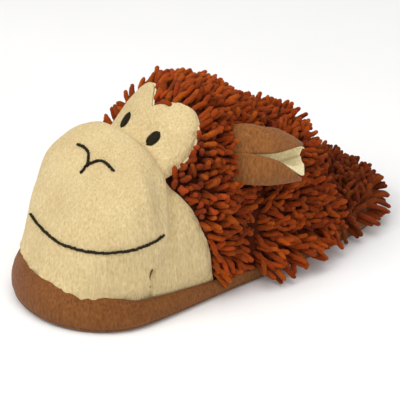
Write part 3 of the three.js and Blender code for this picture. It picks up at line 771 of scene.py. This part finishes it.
ruffle(muzzle_skin, 1.6, 26.0, 3.0)
ruffle(muzzle_skin, 1.5, 7.0, 11.0, near_band)
dart = marks((53.7, -73.4, 35.4), (53.9, -74, 31.5), (53, -74.6, 24.2), (50.4, -74, 14.9))
low_crease = marks((38, -100, 38), (41, -97, 31), (40, -95, 24))
side_seam = marks(
    (34, -54.5, 84), (38, -56, 78), (41, -57.6, 73.4), (43.6, -59.4, 68.5), (46, -61, 63.4),
    (48, -62.8, 58.2), (50, -64.8, 52.3),
)
# The far side's creases are all but stuffed out, so that no ground shows through them.
FAR_CREASE = 0.3
creases = ((dart, 1.4, 1.8), (dart[:2], 2.0, 1.5), (low_crease, 4.0, 1.5), (side_seam, 4.0, -2.2))
for path, width, depth in creases:
    press(muzzle_skin, path, width, depth)
    press(muzzle_skin, far_side(path), width, min(depth, FAR_CREASE))


# The cheek panels are flat pieces of the same plush, sewn over the head between the snout and the yarn. Their
# back edges lie under the first row of yarn.
CHEEK_FRONT = 0.77
panel_edge = column(
    (-0.1, 0.595), (0.1, 0.607), (0.26, 0.6187), (0.41, 0.626), (0.485, 0.637), (0.56, 0.646), (0.63, 0.657),
    (0.68, 0.669), (0.735, 0.681), (0.784, 0.691), (0.84, 0.706), (0.86, 0.75),
)


def panel_start(angle):
    """Where along the shoe the panel's back edge lies, at an angle over the head."""
    at = 0.64
    for _ in range(8):
        at = panel_edge(stuffed_point(head_form, at, angle, 0).z / MUZZLE_TOP)
    return at


def sewn_panel(name, side, replaces):
    """One cheek panel, laid over the head's skin and a little puffed along its back edge."""
    loops = []
    for angle in stations(0, math.pi * 0.36, 60):
        start = panel_start(angle)
        loop = []
        for share in stations(0, 1, 30):
            puff = 1.4 * ease(share / 0.12) * (1 - 0.6 * share) + 0.3
            spot = stuffed_point(head_form, start + (CHEEK_FRONT - start) * share, angle, puff)
            loop.append(Vector((side * spot.x, spot.y, spot.z)))
        loops.append(loop)
    made = piece(name, *joined_loops(loops, closed=False), face_plush, "face_plush", [replaces])
    ruffle(made, 1.0, 15.0, side * 5.0)
    return made


cheek_left = sewn_panel("cheek_left", 1, "side_panel_left")
cheek_right = sewn_panel("cheek_right", -1, "side_panel_right")
cheek_fold = marks((49, -60, 52), (51, -58.8, 45), (52.5, -57.8, 37), (53, -57, 28))
snout_edge = [point + Vector((0, 6.5, 0)) for point in side_seam]
# The head's own skin is held in under the panel's low front corner, and under each fold, so it stays hidden.
under_corner = marks((51.2, -67, 25), (51.2, -59.5, 18.5), (51.2, -53, 13))
for path in (under_corner, far_side(under_corner)):
    press(head_skin, path, 8.0, 4.0)
for fold, width, depth in ((cheek_fold, 4.0, 1.6), (snout_edge, 3.5, 2.2)):
    for path in (fold, far_side(fold)):
        press(head_skin, path, width * 1.4, depth * 1.5)
        press(cheek_left if path[0].x > 0 else cheek_right, path, width, depth)


# The face patch is a heart of the same plush, laid over the head and sewn down round its edge. Its far lobe
# was cut a little nearer the middle.
PATCH_THICK = 1.6
PATCH_REACH = 38
PATCH_ROLL = 3.2
PATCH_MIDDLE = 0.68
PATCH_BACK, PATCH_FRONT = 0.585, 0.75
PATCH_NEAR = [
    (0.638, 0.0), (0.622, 0.145), (0.604, 0.268), (0.592, 0.374), (0.585, 0.444), (0.587, 0.536),
    (0.597, 0.594), (0.607, 0.628), (0.628, 0.666), (0.645, 0.662), (0.66, 0.646), (0.676, 0.629),
    (0.691, 0.615), (0.72, 0.58), (0.745, 0.54),
]
PATCH_FAR = [
    (0.638, 0.0), (0.623, 0.085), (0.608, 0.165), (0.598, 0.25), (0.592, 0.34), (0.59, 0.45), (0.594, 0.54),
    (0.603, 0.61), (0.618, 0.66), (0.636, 0.68), (0.655, 0.665), (0.676, 0.64), (0.691, 0.62), (0.72, 0.58),
    (0.745, 0.54),
]


def head_height(x, y):
    """Height of the head's skin over a spot on the floor."""
    half, top, power = head_form(share_of(y))
    share = max(0.0, 1 - (abs(x) / half) ** power)
    return BASE + (top - BASE) * share ** (1 / power)


def rounded(corners, count):
    """An open run of corners, resampled on a smooth curve."""
    path = []
    for i in range(len(corners) - 1):
        p0, p1 = corners[max(i - 1, 0)], corners[i]
        p2, p3 = corners[i + 1], corners[min(i + 2, len(corners) - 1)]
        for k in range(12):
            t = k / 12
            path.append(0.5 * (2 * p1 + (p2 - p0) * t + (2 * p0 - 5 * p1 + 4 * p2 - p3) * t * t
                               + (3 * p1 - p0 - 3 * p2 + p3) * t ** 3))
    path.append(corners[-1].copy())
    return even(path, count)


def even(path, count):
    """The same path with its points spaced evenly."""
    lengths = [0.0]
    for a, b in zip(path, path[1:]):
        lengths.append(lengths[-1] + (b - a).length)
    made, i = [], 0
    for k in range(count):
        goal = lengths[-1] * k / (count - 1)
        while i < len(path) - 2 and lengths[i + 1] < goal:
            i += 1
        share = (goal - lengths[i]) / max(lengths[i + 1] - lengths[i], 1e-9)
        made.append(path[i].lerp(path[i + 1], min(max(share, 0.0), 1.0)))
    return made


near_lobe, far_lobe = [
    rounded([Vector((side * HALF * across, place_y(at), 0)) for at, across in rows], 90)
    for rows, side in ((PATCH_NEAR, 1), (PATCH_FAR, -1))
]
patch_outline = near_lobe + far_lobe[:0:-1]
patch_middle = Vector((0, place_y(PATCH_MIDDLE), 0))
patch_loops = []
for share in (1.0, 0.995, 0.985, 0.97, 0.94, 0.9, 0.84, 0.76, 0.66, 0.55, 0.43, 0.3, 0.18, 0.08):
    edge = (1 - share) * PATCH_REACH
    lift = (PATCH_THICK + 0.9) * math.sqrt(ease(edge / PATCH_ROLL)) - 0.4
    loop = []
    for spot in patch_outline:
        flat = patch_middle + (spot - patch_middle) * share
        loop.append(Vector((flat.x, flat.y, head_height(flat.x, flat.y) + lift)))
    patch_loops.append(loop)
face_patch = piece("face_patch", *joined_loops(patch_loops), face_plush, "face_plush", ["eye_mask"])


# The mouth and nose are single lines of dark thread in stem stitch. The eyes are satin stitch, laid across
# in close rows, a cream satin stitch holds the patch's edge, and a dull brown thread closes the dart. The
# dart's seam is real, and the thread's dark brown is painted shade of the slit along it.
MOUTH = marks(
    (-28.5, -107, 46.8), (-22, -109, 47), (-11.3, -110.9, 47.2), (0.5, -111.3, 47.2), (11.3, -110.9, 47.5),
    (24, -108.3, 48.9), (33.7, -104, 50.1), (41.2, -98.5, 51.3), (47.1, -92, 52.6), (51.7, -84.6, 54.2),
    (53.9, -75.6, 55.6), (53.6, -65, 57),
)
NOSE = marks(
    (19.8, -77.9, 89.8), (12.7, -77.4, 90.5), (6.4, -78.2, 89.9), (2.1, -81.2, 87.6), (0, -83.3, 86),
    (-0.6, -87.4, 82.3),
)
EYES = marks((-14.6, -45.8, 98.4), (14.9, -45.8, 98.4))
EYE_LONG = 5.2
EYE_WIDE = 3.7
EYE_ROWS = 19
EYE_THREAD = 0.8
DART_THREAD = 0.85
THREAD_SIDES = 6


def skin_of(*pieces):
    """A tree over some pieces' skins, for laying thread on them."""
    points, faces = [], []
    for made in pieces:
        first = len(points)
        points += [v.co / MM for v in made.data.vertices]
        faces += [tuple(first + i for i in face.vertices) for face in made.data.polygons]
    return BVHTree.FromPolygons(points, faces)


def thread_finish(name, deep, pale):
    thread = Finish(name)
    twist = thread.grain(1500.0, 2.0)
    tone = thread.blend(thread.spread(twist, 0.3, 0.7), deep, pale)
    return thread.close(tone, 0.6, twist, 0.0002, Specular_IOR_Level=0.12)


def one_stitch(points, faces, centre, along, out, length, thick):
    """Adds one laid stitch: a thread that rises from the cloth, runs along it and dips back in."""
    side = along.cross(out).normalized()
    first = len(points)
    for share in (-0.5, -0.3, 0.0, 0.3, 0.5):
        spot = centre + along * (length * share) + out * (thick * (0.35 - 3.0 * share * share))
        points += circle(spot, side, out, thick * 0.5 * (1 - 1.6 * share * share), THREAD_SIDES)
    last = len(points) - THREAD_SIDES
    sleeve(faces, first, 5, THREAD_SIDES)
    faces.append(tuple(first + k for k in reversed(range(THREAD_SIDES))))
    faces.append(tuple(last + k for k in range(THREAD_SIDES)))


def stitched_line(skin, path, points, faces, length, spacing, thick, slant, uneven):
    """Lays a row of stitches on a skin along a path, each turned by the slant from the row."""
    chance = random.Random(len(path))
    count = max(3, int(sum((b - a).length for a, b in zip(path, path[1:])) / spacing))
    spots = even(path, count)
    for i, spot in enumerate(spots):
        on, out, _, _ = skin.find_nearest(spot)
        along = spots[min(i + 1, count - 1)] - spots[max(i - 1, 0)]
        along = (along - out * along.dot(out)).normalized()
        across = out.cross(along)
        turn = slant + uneven * chance.uniform(-1.0, 1.0)
        way = (along * math.cos(turn) + across * math.sin(turn)).normalized()
        off = across * (0.5 * uneven * chance.uniform(-1.0, 1.0))
        one_stitch(points, faces, on + off, way, out, length, thick)


dark_thread = thread_finish("dark_thread", dye(20, 16, 6), dye(46, 38, 20))
cream_thread = thread_finish("cream_thread", dye(214, 202, 164), dye(236, 226, 194))
# The dart's thread is dyed darker than the plush, as painted shade of the slit along the dart.
dart_shadow_thread = thread_finish("dart_shadow_thread", dye(96, 78, 44), dye(136, 114, 70))
snout_skin = skin_of(muzzle_skin)
nose_far = [Vector((-point.x * 0.92, point.y, point.z)) for point in NOSE[:5]]
face_lines = (MOUTH, NOSE, nose_far)
for path in face_lines:
    press(muzzle_skin, rounded(path, 40), 1.6, 0.5)
mouth_points, mouth_faces = [], []
for path in face_lines:
    stitched_line(
        snout_skin, rounded(path, 80), mouth_points, mouth_faces,
        length=2.3, spacing=0.9, thick=1.5, slant=0.45, uneven=0.5,
    )
dart_points, dart_faces = [], []
dart_line = rounded([snout_skin.find_nearest(spot)[0] for spot in dart[:3]], 16)
for a, b in zip(dart_line, dart_line[1:]):
    along = (b - a).normalized()
    out = (Vector((1, 0, 0)) - along * along.x).normalized()
    one_stitch(dart_points, dart_faces, (a + b) / 2, along, out, 2.4 * (b - a).length, DART_THREAD)
piece("dart_stitches", dart_points, dart_faces, dart_shadow_thread, "face_plush")
piece("mouth_and_nose", mouth_points, mouth_faces, dark_thread, "face_plush")

patch_skin = skin_of(face_patch)
eye_points, eye_faces = [], []
for spot in EYES:
    on, out, _, _ = patch_skin.find_nearest(spot)
    if out.z < 0:
        out = -out
    up_slope = (Vector((0, 1, 0)) - out * out.y).normalized()
    across = up_slope.cross(out).normalized()
    for i in range(EYE_ROWS):
        share = 2 * i / (EYE_ROWS - 1) - 1
        wide = EYE_WIDE * max(0.03, 1 - abs(share) ** 2.6) ** 0.45
        centre = on + up_slope * (EYE_LONG * share) + out * 0.25
        one_stitch(eye_points, eye_faces, centre, across, out, 2 * wide, EYE_THREAD)
piece("eye_stitches", eye_points, eye_faces, dark_thread, "face_plush")

edge_points, edge_faces = [], []
edge_path = [Vector((spot.x, spot.y, head_height(spot.x, spot.y) + 1.0)) for spot in patch_outline]
stitched_line(
    skin_of(head_skin), edge_path, edge_points, edge_faces,
    length=1.7, spacing=0.6, thick=0.8, slant=1.35, uneven=0.2,
)
piece("patch_edge_stitches", edge_points, edge_faces, cream_thread, "face_plush")


# The ears are brown plush, folded round like a taco over a pale flat lining. Each is sewn to the head by its
# root, and its lower lip flares out.
EAR_ROOT = Vector((45, -8, 90))
EAR_TIP = Vector((53, 38, 73.8))
EAR_LENGTH = 48.0
EAR_HEIGHT = 38.0
EAR_DEPTH = 17.0
EAR_CLOTH = 2.4
EAR_SUNK = 9.0
LIP_OUT, LIP_DOWN, LIP_BOW = 3.4, 1.2, 3.2
LINING_THICK = 0.9
LINING_PUFF = 7.0
ear_tall = column((0, 0.84), (0.25, 0.96), (0.5, 0.95), (0.77, 0.8), (1, 0.56))
ear_deep = column((0, 0.45), (0.25, 0.8), (0.5, 1), (0.77, 1), (1, 0.8))
ear_open = column((0, 0.0), (0.1, 0.0), (0.25, 0.03), (0.5, 0.09), (0.77, 0.27), (0.9, 0.44), (1, 0.68))


def ear_point(side, along, turn, inset):
    """A point on the folded ear: turn runs from one lip (-1) round the fold (0) to the other lip (1)."""
    axis = (EAR_TIP - EAR_ROOT).normalized()
    outward = Vector((1, 0, 0.3))
    outward = (outward - axis * outward.dot(axis)).normalized()
    up = outward.cross(axis).normalized()
    if up.z < 0:
        up = -up
    angle = turn * math.pi * (1 - ear_open(along) * 0.6)
    deep = EAR_DEPTH / 2 * ear_deep(along) - inset
    tall = EAR_HEIGHT / 2 * ear_tall(along) - inset
    spot = EAR_ROOT + axis * (along * EAR_LENGTH) - outward * (math.cos(angle) * deep)
    spot += up * (math.sin(angle) * tall)
    flare = ease((-turn - 0.55) / 0.45) * ease(along / 0.5)
    spot += outward * (LIP_OUT * flare) - up * (LIP_DOWN * flare)
    spot += up * (LIP_BOW * ease((-turn - 0.5) / 0.5) * math.sin(math.pi * min(1.0, along / 0.97)))
    spot -= outward * (EAR_SUNK * (1 - ease(along / 0.4)))
    if inset > EAR_CLOTH:
        puffed = ease(-turn / 0.35) * ease((turn + 1) / 0.25) * ease(along / 0.7)
        spot += up * (LINING_PUFF * puffed) + outward * (0.5 + 1.2 * puffed)
    return Vector((spot.x * side, spot.y, spot.z))


def ear_sheet(name, side, ends, lips, inset, depth, finish, slot, replaces):
    """One folded layer of an ear, as thick as its depth."""
    loops = []
    for along in stations(ends[0], ends[1], 26):
        loops.append([ear_point(side, along, turn, inset) for turn in stations(-lips, lips, 44)])
    made = piece(name, *joined_loops(loops, closed=False), finish, slot, [replaces])
    with in_hand(made.data) as work:
        middle = sum((v.co for v in work.verts), Vector()) / len(work.verts)
        if sum(face.normal.dot(face.calc_center_median() - middle) for face in work.faces) < 0:
            bmesh.ops.reverse_faces(work, faces=work.faces)
    ruffle(made, 1.2, 16.0, side * 2.0 + inset)
    thicken(made, depth)
    rounder = made.modifiers.new("rounded", "SUBSURF")
    rounder.levels = rounder.render_levels = 1
    settle(made)
    return made


ear_plush = plush("ear_plush", dye(112, 66, 31), dye(156, 102, 54), 900.0, 0.0005, 0.12)
lining = Finish("ear_lining")
lining_nap = lining.grain(700.0, 4.0)
lining_tone = lining.blend(lining.spread(lining_nap, 0.3, 0.7), dye(216, 199, 148), dye(244, 231, 186))
ear_lining = lining.close(lining_tone, 0.9, lining_nap, 0.0003, Sheen_Weight=0.15)
for side, hand in ((1, "left"), (-1, "right")):
    cloth, inside = f"ear_cloth_{hand}", f"ear_inside_{hand}"
    ear_sheet(cloth, side, (0, 0.98), 1.0, 0.0, EAR_CLOTH, ear_plush, "ear_plush", f"ear_{hand}")
    ear_sheet(
        inside, side, (0.02, 1.01), 0.96, EAR_CLOTH + 0.1, LINING_THICK,
        ear_lining, "ear_lining", f"ear_lining_{hand}",
    )


# The shaggy yarn is thick chenille, tufted through the cloth in short bent fingers. Each grows out of the
# skin, turns over with the lay of the pile, and ends in a blunt tip.
YARN_THICK = 3.3
YARN_LONG = 10.0
YARN_SPACING = 3.05
SOWN_OVER = 7
COLLAR_SPACING = 3.0
HEEL_SPACING = 3.1
HEEL_LONG, HEEL_TRODDEN = 12.5, 3.5
ROOT_SUNK = 1.2
STRAND_SIDES = 7
STRAND_GIRTH = (0.85, 1.0, 1.05, 1.0, 1.05, 1.0, 0.88, 0.5)


def sow(mesh, spacing, wanted, seed):
    """Roots scattered over a skin no closer than the spacing, each with its outward direction."""
    chance = random.Random(seed)
    mesh.calc_loop_triangles()
    corners, areas = [], []
    for tri in mesh.loop_triangles:
        spots = [mesh.vertices[i].co / MM for i in tri.vertices]
        outs = [mesh.vertices[i].normal for i in tri.vertices]
        corners.append((spots, outs))
        areas.append(tri.area / MM / MM)
    tries = int(sum(areas) / spacing ** 2 * SOWN_OVER)
    grid, roots = {}, []
    for spots, outs in chance.choices(corners, weights=areas, k=tries):
        a, b = chance.random(), chance.random()
        if a + b > 1:
            a, b = 1 - a, 1 - b
        spot = spots[0] * (1 - a - b) + spots[1] * a + spots[2] * b
        if not wanted(spot):
            continue
        cell = [math.floor(spot[k] / spacing) for k in range(3)]
        beside = itertools.product(*[(c - 1, c, c + 1) for c in cell])
        if any((other - spot).length < spacing for near in beside for other in grid.get(near, ())):
            continue
        grid.setdefault(tuple(cell), []).append(spot)
        out = (outs[0] * (1 - a - b) + outs[1] * a + outs[2] * b).normalized()
        roots.append((spot, out))
    return roots


def strand(points, faces, root, out, lay, length, thick, chance):
    """One finger of yarn: it leaves along `out` and bends over to `lay`."""
    side = out.cross(lay)
    if side.length < 0.05:
        side = out.cross(Vector((1, 0.3, 0.2)))
    side.normalize()
    spot = root - out * ROOT_SUNK
    first = len(points)
    steps = len(STRAND_GIRTH)
    curl = chance.uniform(-0.9, 0.9)
    turn_over = chance.uniform(0.2, 1.1)
    for step in range(steps):
        share = min(step / (steps - 2), 1.0)
        way = out * (1.0 - 0.7 * share) + lay * (0.2 + turn_over * share) + side * (curl * share)
        way.normalize()
        if step:
            spot = spot + way * (length / (steps - 2) if step < steps - 1 else thick * 0.26)
            spot.z = max(spot.z, thick * 0.6)
        up = side.cross(way).normalized()
        across = way.cross(up)
        wide = thick * 0.5 * STRAND_GIRTH[step] * chance.uniform(0.86, 1.1)
        points += circle(spot, across, up, wide, STRAND_SIDES)
    tip = len(points)
    points.append(spot + way * (thick * 0.12))
    sleeve(faces, first, steps, STRAND_SIDES)
    end = tip - STRAND_SIDES
    faces += [(end + k, end + (k + 1) % STRAND_SIDES, tip) for k in range(STRAND_SIDES)]


def shag(name, roots, lay_of, finish, seed, length=YARN_LONG):
    """A piece of yarn fingers on their roots. The lay and the length may change from root to root."""
    chance = random.Random(seed)
    points, faces = [], []
    for root, out in roots:
        lay = lay_of(root, out)
        firm = lay.length
        lay = lay + Vector([chance.uniform(-0.75, 0.75) for _ in range(3)])
        lay = lay.normalized() * firm
        long = (length(root) if callable(length) else length) * chance.uniform(0.82, 1.15)
        strand(points, faces, root, out, lay, long, YARN_THICK * chance.uniform(0.9, 1.1), chance)
    return piece(name, points, faces, finish, "yarn")


def chenille(name, light):
    """Thick soft yarn. Each finger is its own tone of brown or red-brown, and fuzzy along its length. A light
    below 1 darkens both dyes, as painted shade.
    """
    fluff = Finish(name)
    one_finger = fluff.node("NewGeometry", out="Random Per Island")
    fuzz = fluff.spread(fluff.grain(1100.0, 4.0, 0.7), 0.3, 0.7)
    slow = fluff.spread(fluff.grain(30.0, 2.0), 0.35, 0.65)
    share = fluff.spread(one_finger * 0.45 + fuzz * 0.4 + slow * 0.25, 0.15, 0.95)
    brown = fluff.blend(share, dye(100 * light, 32 * light, 2), dye(198 * light, 94 * light, 20))
    red = fluff.blend(share, dye(98 * light, 28 * light, 3), dye(186 * light, 72 * light, 20))
    redder = fluff.node("Math", {"operation": "FRACT"}, {0: one_finger * 7.3})
    return fluff.close(
        fluff.blend(redder, brown, red), 0.95, fuzz, 0.0008, Sheen_Weight=0.05, Sheen_Roughness=0.4,
        Specular_IOR_Level=0.08,
    )


chenille_yarn = chenille("chenille_yarn", 1.0)
# The heel's yarn takes the same dyes at 0.8 of their brightness: painted shade, as the heel's hollow lies in
# shade under the upper.
painted_shade_yarn = chenille("painted_shade_yarn", 0.8)


def in_patch(spot):
    """Whether a spot on the head lies within the face patch's outline."""
    at = share_of(spot.y)
    if spot.z < 60 or at < PATCH_BACK or at > PATCH_FRONT:
        return False
    inside = False
    for here, last in zip(patch_outline, patch_outline[-1:] + patch_outline[:-1]):
        crosses = (here.y > spot.y) != (last.y > spot.y)
        if crosses and spot.x < (last.x - here.x) * (spot.y - here.y) / (last.y - here.y) + here.x:
            inside = not inside
    return inside


def on_panel(spot):
    return share_of(spot.y) > panel_edge(spot.z / MUZZLE_TOP) - 0.004 and abs(spot.x) > HALF * 0.3


def under_ear(spot):
    off = Vector((abs(spot.x), spot.y, spot.z)) - EAR_ROOT.lerp(EAR_TIP, 0.45)
    behind = -EAR_LENGTH * 0.3 < off.y < EAR_LENGTH * 0.42
    return behind and abs(off.z) < EAR_HEIGHT * 0.36 and off.x > -EAR_DEPTH


def in_stuffed(form, ends, point, grow):
    """Whether a point lies inside a stuffed form, grown outwards by some mm."""
    at = share_of(point.y)
    if at < ends[0] or at > ends[1]:
        return False
    half, top, power = form(at)
    return in_arch(point, half + grow, top + grow, power)


def head_wanted(spot):
    """Yarn grows on the head where nothing else covers it."""
    if in_upper(spot, 0.5) or in_stuffed(muzzle_form, MUZZLE_ENDS, spot, 1.5):
        return False
    if under_ear(spot) or in_patch(spot) or spot.z < BASE + 5:
        return False
    return not (on_panel(spot) and spot.z < MUZZLE_TOP * 0.86) and share_of(spot.y) < 0.7


def head_lay(spot, out):
    """Combed back over the crown, hanging at the sides, standing out beside the patch and the ear's root."""
    low = 1 - ease((spot.z - 20) / 45)
    crown = ease((out.z - 0.45) / 0.3)
    beside = ease((share_of(spot.y) - 0.57) / 0.05) * ease((abs(spot.x) - 20) / 10)
    ahead = EAR_ROOT.y - spot.y
    over_ear = 1.0 if 0 < ahead < 9 and abs(spot.z - EAR_ROOT.z) < 19 else 0.0
    lay = Vector((0.15 * out.x, 1.0 - 0.5 * low, 0.3 * abs(out.x) - 1.2 * low)) + out * (1.0 * beside)
    lay += Vector((math.copysign(0.9 * over_ear, spot.x), 0.5 * over_ear, 0))
    return lay.normalized() * (1 + 0.8 * crown * (1 - beside))


def hanging(spot):
    """Length of yarn: the fingers near the floor are left longer and spread past the sole."""
    low = 1 - ease((spot.z - 14) / 18)
    return YARN_LONG * (1 + 0.9 * low * ease((spot.y + 40) / 40) * (1 - 0.6 * ease((spot.y - 40) / 20)))


head_roots = sow(head_skin.data, YARN_SPACING, head_wanted, 5)
shag("head_yarn", head_roots, head_lay, chenille_yarn, 21, hanging)


def upper_wanted(spot):
    return not in_stuffed(head_form, HEAD_ENDS, spot, -0.5) and share_of(spot.y) < 0.6 and spot.z > BASE + 2


def upper_lay(spot, out):
    """Combed back, and spread outwards near the floor."""
    low = 1 - ease((spot.z - 12) / 20)
    return Vector((out.x * (0.2 + 1.3 * low), 0.95 - 0.5 * low, -0.3 * abs(out.x) - 0.4 * low))


upper_roots = sow(upper_skin, YARN_SPACING, upper_wanted, 6)
roll_roots = sow(collar_roll.data, COLLAR_SPACING, lambda spot: spot.z > BASE + 2, 7)
roll_roots = [(spot, out) for spot, out in roll_roots if out.y > -0.3]
shag("upper_yarn", upper_roots, upper_lay, chenille_yarn, 22, hanging)
shag("collar_yarn", roll_roots, lambda spot, out: out * 0.6 + Vector((0, 0.5, 0.2)), chenille_yarn, 23)


def pad_wanted(spot):
    return share_of(spot.y) < 0.3 and spot.z > BASE + 1.5 and not in_upper(spot, 2.0)


def back_short(spot):
    """Length of the footbed's yarn: trodden shorter at the very back."""
    return HEEL_LONG - HEEL_TRODDEN * ease((spot.y - 105) / 20)


def pad_lay(spot, out):
    """Standing in the middle of the heel, and falling outwards over its rim."""
    rim = 1 - out.z
    away = Vector((spot.x, spot.y - place_y(0.25), 0)).normalized()
    return out * (0.9 - 0.5 * rim) + away * (0.25 + 0.5 * rim) + Vector((0, 0.1, -0.75 * rim))


pad_roots = sow(footbed_pad.data, HEEL_SPACING, pad_wanted, 8)
shag("heel_yarn", pad_roots, pad_lay, painted_shade_yarn, 31, back_short)


# The box round every solid that is shown, but the studio floor, is measured in metres.
low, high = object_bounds()
